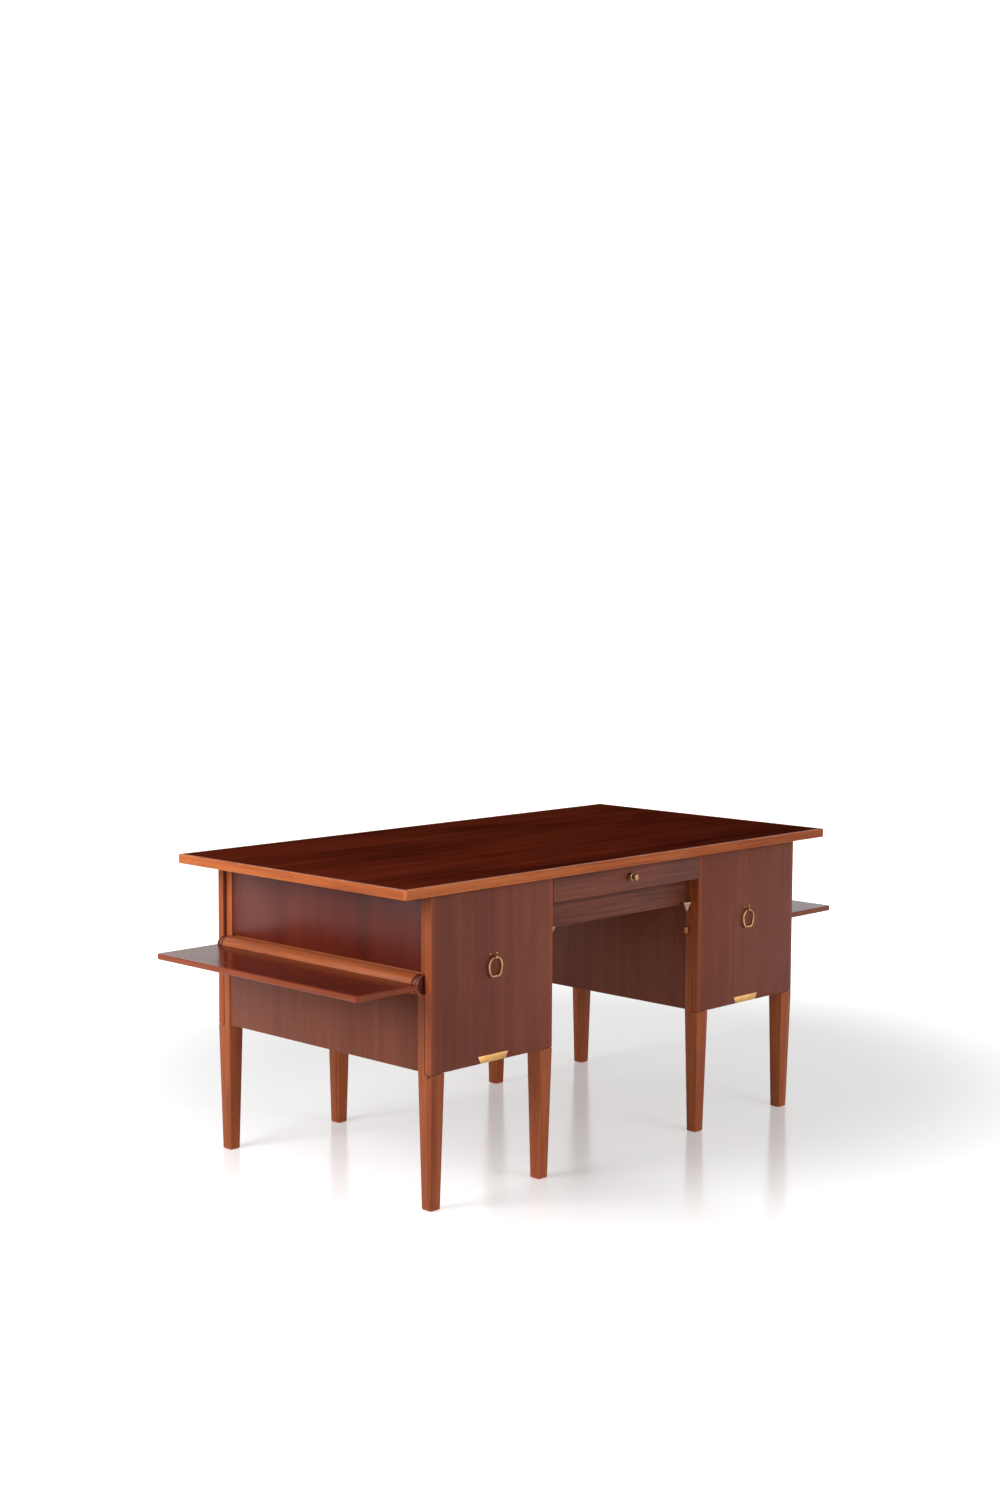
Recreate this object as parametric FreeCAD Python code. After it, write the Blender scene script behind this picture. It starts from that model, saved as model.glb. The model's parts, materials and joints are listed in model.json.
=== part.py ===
import FreeCAD, Part
import math
import os

# Partners desk: one long top over two cupboard pedestals, worked from both long sides,
# with a folding leaf at each end. Millimetres. X runs along the top, the front faces -Y,
# Z is up, and the origin is on the floor under the middle of the top.

# Top
top_length = 1560.0
top_depth = 808.0
top_height = 750.0
top_thickness = 22.5
lipping_width = 10.0
top_corner_round = 5.0
top_edge_ease = 1.5

# Pedestals
kneehole_width = 550.0
pedestal_width = 401.0
carcass_depth = 758.0
carcass_bottom = 317.0
floor_thickness = 18.0
floor_lift = 2.0
crown_thickness = 15.0
divider_thickness = 12.0
panel_setback = 2.0
lower_panel_thickness = 18.0
upper_panel_thickness = 15.0
kneehole_panel_setback = 3.0
kneehole_panel_thickness = 18.0
shelf_thickness = 16.0
shelf_drop = 8.0
shelf_side_gap = 1.5
shelf_front_inset = 4.0
shelf_pin_diameter = 6.0
shelf_pin_seat = 6.0
shelf_pin_reach = 9.0
shelf_pin_inset = 60.0
shelf_pin_clearance = 0.1

# Legs, each running up as the corner post of its pedestal
leg_section = 42.0
foot_section = 29.0
foot_ease = 2.0

# Doors, lying over the posts and turning on pins at the outer corners
door_thickness = 20.0
door_shadow_gap = 2.0
door_clearance = 1.5
door_edge_ease = 1.0
pivot_diameter = 6.0
pivot_from_end = 5.5
pivot_from_face = 9.0
pivot_reach = 12.0
pivot_seat = 14.0
pivot_collar_diameter = 10.0
collar_clearance = 0.1
running_clearance = 0.05
plate_top_width = 100.0
plate_bottom_width = 82.0
plate_height = 17.0
plate_inlay = 3.0

# Ring pulls
ring_half_width = 21.0
ring_crown = 19.0
ring_skirt = 30.5
ring_wire = 4.0
ring_flat_drop = 25.0
ring_standoff = 6.0
ring_rise = 244.0
ring_steps = 16
ring_sides = 8
eye_bore = 5.0
eye_wall = 2.0
eye_width = 7.0
stud_diameter = 5.0
stud_crown_diameter = 2.4
stud_height = 1.6
stud_spread = 21.0
stud_rise = 8.0

# End leaves: a board glued to a turned rod that lies in a coved rail
leaf_reach = 205.0
leaf_headroom = 2.5
leaf_thickness = 14.0
leaf_rise = 3.0
leaf_end_gap = 1.0
leaf_corner_round = 6.0
leaf_edge_ease = 1.5
rod_radius = 23.0
rod_end_gap = 0.5
neck_radius = 19.0
neck_clearance = 0.3
flange_thickness = 3.0
flange_step = 0.5
cove_clearance = 0.5
cove_margin = 2.0
leaf_recess = 9.0
cove_rail_depth = 28.0
rod_shadow_line = 6.0
glue_clearance = 0.02
leaf_fold = 90.0
stop_key_angle = -30.0
stop_key_spread = 14.0
stop_key_depth = 6.0
stop_key_length = 120.0
stop_key_root = 1.0
stop_slack = 0.5
stop_clearance = 0.5
strap_width = 8.0
strap_thickness = 2.0
strap_seat = 9.0

# Kneehole drawers, aprons and brass fittings
drawer_front_height = 62.0
drawer_front_thickness = 20.0
drawer_end_gap = 2.0
drawer_side_gap = 1.0
drawer_side_thickness = 14.0
drawer_side_lift = 4.0
drawer_side_height = 46.0
drawer_back_gap = 10.0
drawer_bottom_lift = 4.0
drawer_bottom_thickness = 5.0
drawer_back_thickness = 12.0
drawer_back_drop = 6.0
runner_height = 12.0
runner_lift = 20.0
runner_bite = 8.0
runner_clearance = 0.5
runner_end_gap = 2.0
centre_rail_thickness = 20.0
knob_rise = 34.0
knob_length = 25.0
knob_base_diameter = 14.0
knob_base_length = 2.0
knob_drum_diameter = 19.0
knob_drum_length = 11.0
knob_groove_diameter = 12.0
knob_groove_length = 3.0
knob_button_diameter = 16.0
knob_ease = 1.0
apron_height = 68.0
apron_thickness = 18.0
apron_proud = 4.0
apron_gap = 1.0
peg_from_post = 18.0
peg_from_face = 24.0
peg_lap = 8.0
peg_length = 24.0
peg_diameter = 23.0
peg_tip_diameter = 3.0
peg_stem_diameter = 7.0
barrel_diameter = 11.0
barrel_height = 18.0
barrel_drop = 68.0
barrel_ease = 1.5
barrel_from_back = 6.0

# Flat sides of the small turned pieces and of the thin pins
turned_sides = 12
pin_sides = 8

# Planes worked out from the sizes above, for the front left quarter
x_out = kneehole_width / 2 + pedestal_width
x_in = kneehole_width / 2
y_face = carcass_depth / 2
y_door_back = y_face - door_thickness
y_post_front = y_door_back - door_shadow_gap
y_post_back = y_face - leg_section
underside = top_height - top_thickness
shoulder = carcass_bottom - door_clearance
door_top = underside - door_clearance
leaf_axis_height = underside - leaf_headroom - leaf_reach
ring_pivot_height = carcass_bottom + ring_rise
shelf_height = leaf_axis_height - shelf_drop
drawer_front_bottom = door_top - drawer_front_height
drawer_length = y_face - drawer_front_thickness - centre_rail_thickness / 2 - drawer_back_gap
knob_height = drawer_front_bottom + knob_rise
apron_top = drawer_front_bottom - apron_gap
apron_bottom = apron_top - apron_height
peg_top_height = apron_bottom + peg_lap
x_lower_panel = x_out - panel_setback
x_lower_inner = x_lower_panel - lower_panel_thickness
x_upper_face = x_out - leaf_recess
x_upper_panel = x_upper_face - panel_setback
x_upper_inner = x_upper_panel - upper_panel_thickness
x_rail_inner = x_lower_panel - cove_rail_depth
x_knee_panel = x_in + kneehole_panel_setback
x_knee_inner = x_knee_panel + kneehole_panel_thickness
x_post_inner = x_out - leg_section
x_inner_post = x_in + leg_section
cove_radius = rod_radius + cove_clearance
cove_bottom = leaf_axis_height - cove_radius - cove_margin
cove_top = leaf_axis_height + cove_radius + cove_margin
floor_bottom = carcass_bottom + floor_lift
floor_top = floor_bottom + floor_thickness
crown_bottom = underside - crown_thickness
x_door_centre = x_in + pedestal_width / 2
pivot_x = x_out - pivot_from_end
pivot_y = y_face - pivot_from_face

SIDES = {"left": -1, "right": 1}
FACES = {"front": -1, "back": 1}

os.makedirs("parts", exist_ok=True)


def vec(x, y, z):
    return FreeCAD.Vector(x, y, z)


def block(x0, x1, y0, y1, z0, z1):
    return Part.makeBox(x1 - x0, y1 - y0, z1 - z0, vec(x0, y0, z0))


def rod_along_y(radius, x, z, y0, y1):
    return Part.makeCylinder(radius, y1 - y0, vec(x, y0, z), vec(0, 1, 0))


def turned(stations, foot, axis, sides=turned_sides):
    """A small turned piece with many flat sides, through (radius, distance) stations along its axis."""
    first = axis.cross(vec(0, 0, 1) if abs(axis.z) < 0.5 else vec(1, 0, 0))
    second = axis.cross(first)
    rings = []
    for radius, reach in stations:
        turns = [2 * math.pi * (k + 0.5) / sides for k in range(sides)]
        middle = foot + axis * reach
        rings.append([middle + first * (radius * math.cos(t)) + second * (radius * math.sin(t)) for t in turns])
    faces = [Part.Face(Part.makePolygon(end + end[:1])) for end in (rings[0], rings[-1])]
    for near, far in zip(rings, rings[1:]):
        for k in range(sides):
            m = (k + 1) % sides
            faces.append(Part.Face(Part.makePolygon([near[k], near[m], far[m], far[k], near[k]])))
    solid = Part.Solid(Part.Shell(faces))
    if solid.Volume < 0:
        solid.reverse()
    return solid


def rod_along_z(radius, x, y, z0, z1):
    return turned([(radius, 0), (radius, z1 - z0)], vec(x, y, z0), vec(0, 0, 1), pin_sides)


def rod_along_x(radius, y, z, x0, x1):
    return turned([(radius, 0), (radius, x1 - x0)], vec(x0, y, z), vec(1, 0, 0), pin_sides)


def bore_along_z(radius, x, y, z0, z1):
    return Part.makeCylinder(radius, z1 - z0, vec(x, y, z0))


def bore_along_x(radius, y, z, x0, x1):
    return Part.makeCylinder(radius, x1 - x0, vec(x0, y, z), vec(1, 0, 0))


def prism(points, direction):
    """Extrude a flat outline, given as its corner points, along a direction."""
    return Part.Face(Part.makePolygon(points + points[:1])).extrude(direction)


def square_at(section, x, y, z):
    half = section / 2
    corners = [(-half, -half), (half, -half), (half, half), (-half, half), (-half, -half)]
    return Part.makePolygon([vec(x + dx, y + dy, z) for dx, dy in corners])


def ring_sector(r0, r1, deg0, deg1, y0, y1):
    """A slice of a tube round the left leaf's axis, between two angles that turn from inwards to upwards."""
    def spot(radius, deg):
        turn = math.radians(deg)
        return vec(-x_out + radius * math.cos(turn), y0, leaf_axis_height + radius * math.sin(turn))

    mid = (deg0 + deg1) / 2
    outer = Part.Arc(spot(r1, deg0), spot(r1, mid), spot(r1, deg1)).toShape()
    inner = Part.Arc(spot(r0, deg1), spot(r0, mid), spot(r0, deg0)).toShape()
    far_side = Part.makeLine(spot(r1, deg1), spot(r0, deg1))
    near_side = Part.makeLine(spot(r0, deg0), spot(r1, deg0))
    return Part.Face(Part.Wire([outer, far_side, inner, near_side])).extrude(vec(0, y1 - y0, 0))


def edges_where(shape, test):
    return [edge for edge in shape.Edges if test(edge.BoundBox)]


def is_upright(box):
    return box.XLength < 1e-6 and box.YLength < 1e-6


def quarter(shape, side, face):
    """Turn a piece of the front left quarter into the same piece of another quarter."""
    if side > 0:
        shape = shape.mirror(vec(0, 0, 0), vec(1, 0, 0))
    if face > 0:
        shape = shape.mirror(vec(0, 0, 0), vec(0, 1, 0))
    return shape


def all_quarters(shape):
    return [quarter(shape, side, face) for side in SIDES.values() for face in FACES.values()]


def save(node, *solids):
    shape = solids[0] if len(solids) == 1 else Part.makeCompound(list(solids))
    shape.exportStep("parts/" + node + ".step")


# Top: a veneered core inside a mitred frame of solid lipping
def desktop():
    half_x = top_length / 2 - lipping_width
    half_y = top_depth / 2 - lipping_width
    core = block(-half_x, half_x, -half_y, half_y, underside, top_height)
    pin = rod_along_z(pivot_diameter / 2, -pivot_x, -pivot_y, underside, underside + pivot_seat)
    return core.cut(Part.makeCompound(all_quarters(pin)))


def desktop_lipping():
    half_x, half_y = top_length / 2, top_depth / 2
    slab = block(-half_x, half_x, -half_y, half_y, underside, top_height)
    slab = slab.makeFillet(top_corner_round, edges_where(slab, is_upright))
    rims = edges_where(slab, lambda box: box.ZLength < 1e-6)
    slab = slab.makeChamfer(top_edge_ease, rims)
    in_x, in_y = half_x - lipping_width, half_y - lipping_width
    rise = vec(0, 0, top_thickness)
    long_strip = [vec(-half_x, -half_y, underside), vec(half_x, -half_y, underside),
                  vec(in_x, -in_y, underside), vec(-in_x, -in_y, underside)]
    end_strip = [vec(-half_x, -half_y, underside), vec(-in_x, -in_y, underside),
                 vec(-in_x, in_y, underside), vec(-half_x, half_y, underside)]
    front = slab.common(prism(long_strip, rise))
    left = slab.common(prism(end_strip, rise))
    return [front, quarter(front, -1, 1), left, quarter(left, 1, -1)]


save("desktop", desktop())
save("desktop_lipping", *desktop_lipping())


# Legs: a square taper up to the shoulder, then a thinner post behind the door
def tapered_leg(x_outer, x_inner):
    x_mid, y_mid = (x_outer + x_inner) / 2, -y_face + leg_section / 2
    foot = square_at(foot_section, x_mid, y_mid, 0)
    head = square_at(leg_section, x_mid, y_mid, shoulder)
    taper = Part.makeLoft([foot, head], True, True)
    taper = taper.makeChamfer(foot_ease, edges_where(taper, lambda box: box.ZMax < 1e-6))
    low, high = min(x_outer, x_inner), max(x_outer, x_inner)
    return taper.fuse(block(low, high, -y_post_front, -y_post_back, shoulder, underside))


def strap_span():
    y_mid = -(y_post_front + y_post_back - flange_thickness - flange_step) / 2
    return y_mid - strap_width / 2, y_mid + strap_width / 2


def strap_ends():
    """The two straight ends of a leaf's strap, let into slots of the post above and below the rod's neck."""
    inner = neck_radius + neck_clearance
    y0, y1 = strap_span()
    z_top, z_low = leaf_axis_height + inner, leaf_axis_height - inner
    return [block(-x_out, -x_upper_face + strap_seat, y0, y1, z_top, z_top + strap_thickness),
            block(-x_out, -x_out + strap_seat, y0, y1, z_low - strap_thickness, z_low)]


def outer_leg():
    """The post by the leaf stands back above the rod and is coved for the rod's neck and flange."""
    leg = tapered_leg(-x_out, -x_post_inner)
    y_neck = -y_post_front + flange_thickness + 2 * flange_step
    recess = block(-x_out, -x_upper_face, -y_post_front, -y_post_back, leaf_axis_height, underside)
    flange_cove = rod_along_y(rod_radius, -x_out, leaf_axis_height, -y_post_front, y_neck)
    neck_cove = rod_along_y(neck_radius + neck_clearance, -x_out, leaf_axis_height, y_neck, -y_post_back)
    pin = rod_along_z(pivot_diameter / 2, -pivot_x, -pivot_y, shoulder - pivot_seat, shoulder)
    for tool in [recess, flange_cove, neck_cove, pin] + strap_ends():
        leg = leg.cut(tool)
    return leg.removeSplitter()


def inner_leg():
    return tapered_leg(-x_inner_post, -x_in).removeSplitter()


for side_name, side in SIDES.items():
    for face_name, face in FACES.items():
        save(face_name + "_" + side_name + "_outer_leg", quarter(outer_leg(), side, face))
        save(face_name + "_" + side_name + "_inner_leg", quarter(inner_leg(), side, face))


# Pedestal carcasses: panels between the posts, a floor, a crown and a middle divider
def shelf_pins(clearance=0.0):
    """Four pins under the front shelf of the left pedestal, seated in the rail and the knee panel."""
    radius = shelf_pin_diameter / 2 + clearance
    z = shelf_height - shelf_pin_diameter / 2 * math.cos(math.pi / pin_sides)
    spans = [(-x_rail_inner - shelf_pin_seat, -x_rail_inner + shelf_pin_reach),
             (-x_knee_inner - shelf_pin_reach, -x_knee_inner + shelf_pin_seat)]
    rows = (-y_post_back + shelf_pin_inset, -shelf_pin_inset)
    return [rod_along_x(radius, y, z, x0, x1) for y in rows for x0, x1 in spans]


def pin_holes():
    holes = shelf_pins(shelf_pin_clearance)
    return Part.makeCompound(holes + [quarter(hole, -1, 1) for hole in holes])


def lower_end_panel():
    return block(-x_lower_panel, -x_lower_inner, -y_post_back, y_post_back, floor_bottom, cove_bottom)


def upper_end_panel():
    return block(-x_upper_panel, -x_upper_inner, -y_post_back, y_post_back, cove_top, underside)


def cove_rail():
    """The rail's cove carries a key, low at its back, that stops the rod at both ends of the fold."""
    low = block(-x_lower_panel, -x_rail_inner, -y_post_back, y_post_back, cove_bottom, cove_top)
    x_lip = -x_upper_panel + rod_shadow_line
    step = block(-x_lower_panel, x_lip, -y_post_back, y_post_back, leaf_axis_height, cove_top)
    cove = rod_along_y(cove_radius, -x_out, leaf_axis_height, -y_post_back, y_post_back)
    rail = low.cut(Part.makeCompound([step, cove])).cut(pin_holes())
    half = stop_key_length / 2
    key = ring_sector(rod_radius - stop_key_depth + stop_clearance, cove_radius + stop_key_root,
                      stop_key_angle - stop_key_spread / 2, stop_key_angle + stop_key_spread / 2, -half, half)
    return rail.fuse(key).removeSplitter()


def kneehole_panel():
    panel = block(-x_knee_inner, -x_knee_panel, -y_post_back, y_post_back, floor_bottom, underside)
    return panel.cut(pin_holes())


def board_between_posts(x_end, z0, z1):
    """A level board that fills the pedestal and runs out between the posts to the doors."""
    body = block(-x_end, -x_knee_inner, -y_post_back, y_post_back, z0, z1)
    tongue = block(-x_post_inner, -x_inner_post, -y_post_front, y_post_front, z0, z1)
    return body.fuse(tongue).removeSplitter()


def pedestal_floor():
    return board_between_posts(x_lower_inner, floor_bottom, floor_top)


def pedestal_crown():
    return board_between_posts(x_upper_inner, crown_bottom, underside)


def pedestal_divider():
    """The divider's outer edge is scribed round the coved rail."""
    y0 = -divider_thickness / 2
    outline = [(-x_lower_inner, floor_top), (-x_lower_inner, cove_bottom), (-x_rail_inner, cove_bottom),
               (-x_rail_inner, cove_top), (-x_upper_inner, cove_top), (-x_upper_inner, crown_bottom),
               (-x_knee_inner, crown_bottom), (-x_knee_inner, floor_top)]
    return prism([vec(x, y0, z) for x, z in outline], vec(0, divider_thickness, 0))


def shelf():
    x0, x1 = -x_rail_inner + shelf_side_gap, -x_knee_inner - shelf_side_gap
    y0, y1 = -y_post_back + shelf_front_inset, -divider_thickness / 2
    return block(x0, x1, y0, y1, shelf_height, shelf_height + shelf_thickness)


for side_name, side in SIDES.items():
    save(side_name + "_lower_end_panel", quarter(lower_end_panel(), side, -1))
    save(side_name + "_upper_end_panel", quarter(upper_end_panel(), side, -1))
    save(side_name + "_cove_rail", quarter(cove_rail(), side, -1))
    save(side_name + "_kneehole_panel", quarter(kneehole_panel(), side, -1))
    save(side_name + "_pedestal_floor", quarter(pedestal_floor(), side, -1))
    save(side_name + "_pedestal_crown", quarter(pedestal_crown(), side, -1))
    save(side_name + "_pedestal_divider", quarter(pedestal_divider(), side, -1))
    save(side_name + "_shelves", *[quarter(shelf(), side, face) for face in FACES.values()])
save("shelf_pins", *[solid for pin in shelf_pins() for solid in all_quarters(pin)])


# Doors: each turns on a collared pin in the leg's shoulder and a plain pin in the top
def plate_outline():
    z0, z1 = carcass_bottom, carcass_bottom + plate_height
    half_low, half_high = plate_bottom_width / 2, plate_top_width / 2
    corners = [(-half_low, z0), (half_low, z0), (half_high, z1), (-half_high, z1)]
    return [vec(-x_door_centre + x, -y_face, z) for x, z in corners]


def door_plate():
    return prism(plate_outline(), vec(0, plate_inlay, 0))


def door():
    slab = block(-x_out, -x_in, -y_face, -y_door_back, carcass_bottom, door_top)
    uprights = edges_where(slab, lambda box: is_upright(box) and box.YMax < -y_face + 1e-6)
    slab = slab.makeChamfer(door_edge_ease, uprights)
    bore = pivot_diameter / 2 + running_clearance
    depth = pivot_reach + door_clearance
    low = bore_along_z(bore, -pivot_x, -pivot_y, carcass_bottom, carcass_bottom + depth)
    high = bore_along_z(bore, -pivot_x, -pivot_y, door_top - depth, door_top)
    return slab.cut(Part.makeCompound([low, high, door_plate()]))


def door_pivots():
    radius = pivot_diameter / 2 - glue_clearance
    low = rod_along_z(radius, -pivot_x, -pivot_y, shoulder - pivot_seat, carcass_bottom + pivot_reach)
    collar_top = carcass_bottom - collar_clearance
    collar = rod_along_z(pivot_collar_diameter / 2, -pivot_x, -pivot_y, shoulder, collar_top)
    high = rod_along_z(radius, -pivot_x, -pivot_y, door_top - pivot_reach, underside + pivot_seat)
    return low.fuse(collar), high


def ring_eye():
    """An eye on a short shank, with the ring's wire lying in its bore, and two domed studs above."""
    y_axis = -y_face - ring_standoff
    outer = eye_bore / 2 + eye_wall
    half = eye_width / 2
    x0, x1 = -x_door_centre - half, -x_door_centre + half
    eye = rod_along_x(outer, y_axis, ring_pivot_height, x0, x1)
    shank = block(x0, x1, y_axis, -y_face, ring_pivot_height - outer / 2, ring_pivot_height + outer / 2)
    bore = bore_along_x(eye_bore / 2, y_axis, ring_pivot_height, x0, x1)
    return eye.fuse(shank).cut(bore).removeSplitter()


def ring_studs():
    studs = []
    for x in (-x_door_centre - stud_spread / 2, -x_door_centre + stud_spread / 2):
        seat = vec(x, -y_face, ring_pivot_height + stud_rise)
        crown = stud_crown_diameter / 2
        studs.append(turned([(stud_diameter / 2, 0), (crown, stud_height)], seat, vec(0, -1, 0)))
    return studs


def ring_path():
    """Corners of the ring's centreline from the front: a round crown that narrows down to a short flat."""
    flat_turn = math.asin(ring_flat_drop / ring_skirt)
    step = (math.pi + 2 * flat_turn) / ring_steps
    path = []
    for i in range(ring_steps + 1):
        turn = step * i - flat_turn
        rise = math.sin(turn)
        path.append((ring_half_width * math.cos(turn), (ring_crown if rise > 0 else ring_skirt) * rise))
    return path


def ring():
    """A wire of many flat sides, mitred from step to step round the closed path and hung by its top."""
    path = ring_path()
    count = len(path)
    outward = []
    for (x0, z0), (x1, z1) in zip(path, path[1:] + path[:1]):
        length = math.hypot(x1 - x0, z1 - z0)
        outward.append(((z1 - z0) / length, (x0 - x1) / length))
    sections = []
    for i, (x, z) in enumerate(path):
        nx, nz = outward[i - 1][0] + outward[i][0], outward[i - 1][1] + outward[i][1]
        stretch = 2 / (nx * nx + nz * nz)
        corners = []
        for k in range(ring_sides):
            turn = 2 * math.pi * (k + 0.5) / ring_sides
            out, deep = ring_wire / 2 * math.cos(turn) * stretch, ring_wire / 2 * math.sin(turn)
            corners.append(vec(-x_door_centre + x + nx * out, -y_face - ring_standoff + deep,
                               ring_pivot_height - ring_crown + z + nz * out))
        sections.append(corners)
    faces = []
    for i, near in enumerate(sections):
        far = sections[(i + 1) % count]
        for k in range(ring_sides):
            m = (k + 1) % ring_sides
            faces.append(Part.Face(Part.makePolygon([near[k], near[m], far[m], far[k], near[k]])))
    return Part.Solid(Part.Shell(faces))


for side_name, side in SIDES.items():
    for face_name, face in FACES.items():
        name = face_name + "_" + side_name
        save(name + "_door", quarter(door(), side, face))
        save(name + "_door_plate", quarter(door_plate(), side, face))
        save(name + "_ring_staple", *[quarter(piece, side, face) for piece in [ring_eye()] + ring_studs()])
        save(name + "_ring", quarter(ring(), side, face))
save("door_pivots", *[solid for pin in door_pivots() for solid in all_quarters(pin)])


# End leaves: the rod's necks lie in the posts' coves under brass straps
def leaf_rod():
    y_main = y_post_back - rod_end_gap
    y_end = y_post_front - flange_step
    y_flange = y_end - flange_thickness
    flange_radius = rod_radius - flange_step
    main = rod_along_y(rod_radius, -x_out, leaf_axis_height, -y_main, y_main)
    neck = rod_along_y(neck_radius, -x_out, leaf_axis_height, -y_flange, y_flange)
    flanges = [rod_along_y(flange_radius, -x_out, leaf_axis_height, -y_end, -y_flange),
               rod_along_y(flange_radius, -x_out, leaf_axis_height, y_flange, y_end)]
    half = stop_key_length / 2 + stop_clearance
    first = stop_key_angle - stop_key_spread / 2 - stop_slack
    last = stop_key_angle + stop_key_spread / 2 + stop_slack + leaf_fold
    groove = ring_sector(rod_radius - stop_key_depth, cove_radius, first, last, -half, half)
    return main.multiFuse([neck] + flanges).cut(groove)


def leaf():
    y_end = y_door_back - leaf_end_gap
    z_high = leaf_axis_height + leaf_rise
    board = block(-x_out - leaf_reach, -x_out, -y_end, y_end, z_high - leaf_thickness, z_high)
    outer = edges_where(board, lambda box: is_upright(box) and box.XMax < -x_out - leaf_reach / 2)
    board = board.makeFillet(leaf_corner_round, outer)
    rims = edges_where(board, lambda box: box.ZLength < 1e-6 and box.XMin < -x_out - 1e-6)
    board = board.makeChamfer(leaf_edge_ease, rims)
    bed = rod_along_y(rod_radius + glue_clearance, -x_out, leaf_axis_height, -y_end, y_end)
    inner = block(-x_out - neck_radius, -x_out, -y_end, y_end, z_high - leaf_thickness, z_high)
    return board.cut(Part.makeCompound([bed, inner]))


def leaf_strap():
    inner = neck_radius + neck_clearance
    y0, y1 = strap_span()
    hoop = rod_along_y(inner + strap_thickness, -x_out, leaf_axis_height, y0, y1)
    hoop = hoop.cut(rod_along_y(inner, -x_out, leaf_axis_height, y0, y1))
    reach = inner + strap_thickness
    outside = block(-x_out - reach, -x_out, y0, y1, leaf_axis_height - reach, leaf_axis_height + reach)
    return hoop.common(outside).multiFuse(strap_ends()).removeSplitter()


for side_name, side in SIDES.items():
    save(side_name + "_leaf", quarter(leaf(), side, -1))
    save(side_name + "_leaf_rod", quarter(leaf_rod(), side, -1))
save("leaf_straps", *all_quarters(leaf_strap()))


# Kneehole: a shallow drawer on each face over a set-back apron, with brass pegs and barrels
def drawer_front():
    half = x_in - drawer_end_gap
    front = block(-half, half, -y_face, -y_face + drawer_front_thickness, drawer_front_bottom, door_top)
    uprights = edges_where(front, lambda box: is_upright(box) and box.YMax < -y_face + 1e-6)
    return front.makeChamfer(door_edge_ease, uprights)


def drawer_box():
    """Grooved sides, a back and a bottom, made to slide on runners fixed in the kneehole."""
    x1 = x_in - drawer_side_gap
    x0 = x1 - drawer_side_thickness
    y0 = -y_face + drawer_front_thickness
    y1 = y0 + drawer_length
    z0 = drawer_front_bottom + drawer_side_lift
    z1 = z0 + drawer_side_height
    z_groove = drawer_front_bottom + runner_lift - runner_clearance
    groove = block(x1 - runner_bite - runner_clearance, x1, y0, y1, z_groove,
                   z_groove + runner_height + 2 * runner_clearance)
    right = block(x0, x1, y0, y1, z0, z1).cut(groove)
    left = quarter(right, 1, -1)
    z_bottom = z0 + drawer_bottom_lift
    z_inside = z_bottom + drawer_bottom_thickness
    bottom = block(-x0, x0, y0, y1, z_bottom, z_inside)
    back = block(-x0, x0, y1 - drawer_back_thickness, y1, z_inside, z1 - drawer_back_drop)
    return [left, right, bottom, back]


def drawer_knob():
    """A turned knob: base flange, drum, a groove and a button at the front end, with eased corners."""
    base, drum = knob_base_diameter / 2, knob_drum_diameter / 2
    groove, button = knob_groove_diameter / 2, knob_button_diameter / 2
    drum_end = knob_base_length + knob_drum_length
    groove_end = drum_end + knob_groove_length
    stations = [(base, 0), (base, knob_base_length), (drum, knob_base_length + knob_ease), (drum, drum_end),
                (groove, drum_end + knob_ease), (groove, groove_end), (button, groove_end + knob_ease),
                (button, knob_length - knob_ease), (button - knob_ease, knob_length)]
    return turned(stations, vec(0, -y_face, knob_height), vec(0, -1, 0))


def drawer_runner():
    x1 = x_knee_panel
    x0 = x_in - drawer_side_gap - runner_bite
    y0 = -y_post_back + runner_end_gap
    y1 = -centre_rail_thickness / 2
    z0 = drawer_front_bottom + runner_lift
    return block(-x1, -x0, y0, y1, z0, z0 + runner_height)


def centre_rail():
    half = centre_rail_thickness / 2
    return block(-x_knee_panel, x_knee_panel, -half, half, drawer_front_bottom, underside)


def apron():
    y0 = -y_post_back - apron_proud
    return block(-x_in, x_in, y0, y0 + apron_thickness, apron_bottom, apron_top)


def kneehole_peg():
    """A cone, point down, on a stem let against the post's kneehole face."""
    x_mid, y_mid = -x_in + peg_from_post, -y_face + peg_from_face
    radius = peg_diameter / 2
    tip = vec(x_mid, y_mid, peg_top_height - peg_length)
    cone = turned([(peg_tip_diameter / 2, 0), (radius, peg_length)], tip, vec(0, 0, 1))
    stem_radius = peg_stem_diameter / 2
    y_stem = -y_post_front + stem_radius + door_edge_ease
    stem = rod_along_x(stem_radius, y_stem, peg_top_height - stem_radius - door_edge_ease, -x_in, x_mid)
    return cone.fuse(stem)


def catch_barrel():
    """The upright barrel of the door's spring catch, on a foot against the post's kneehole face."""
    radius = barrel_diameter / 2
    y_mid = -y_post_back - barrel_from_back
    z0 = apron_bottom - barrel_drop - barrel_height / 2
    end = radius - barrel_ease
    stations = [(end, 0), (radius, barrel_ease), (radius, barrel_height - barrel_ease), (end, barrel_height)]
    barrel = turned(stations, vec(-x_in + radius, y_mid, z0), vec(0, 0, 1))
    foot = block(-x_in, -x_in + radius, y_mid - radius / 2, y_mid + radius / 2,
                 z0 + radius, z0 + barrel_height - radius)
    return barrel.fuse(foot).removeSplitter()


for face_name, face in FACES.items():
    save(face_name + "_drawer_front", quarter(drawer_front(), -1, face))
    save(face_name + "_drawer_box", *[quarter(piece, -1, face) for piece in drawer_box()])
    save(face_name + "_drawer_knob", quarter(drawer_knob(), -1, face))
save("kneehole_aprons", *[quarter(apron(), -1, face) for face in FACES.values()])
save("drawer_runners", *all_quarters(drawer_runner()))
save("centre_rail", centre_rail())
save("kneehole_pegs", *all_quarters(kneehole_peg()))
save("catch_barrels", *all_quarters(catch_barrel()))
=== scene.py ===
import json
import math
import bmesh
import bpy
from mathutils import Matrix, Vector


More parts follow.
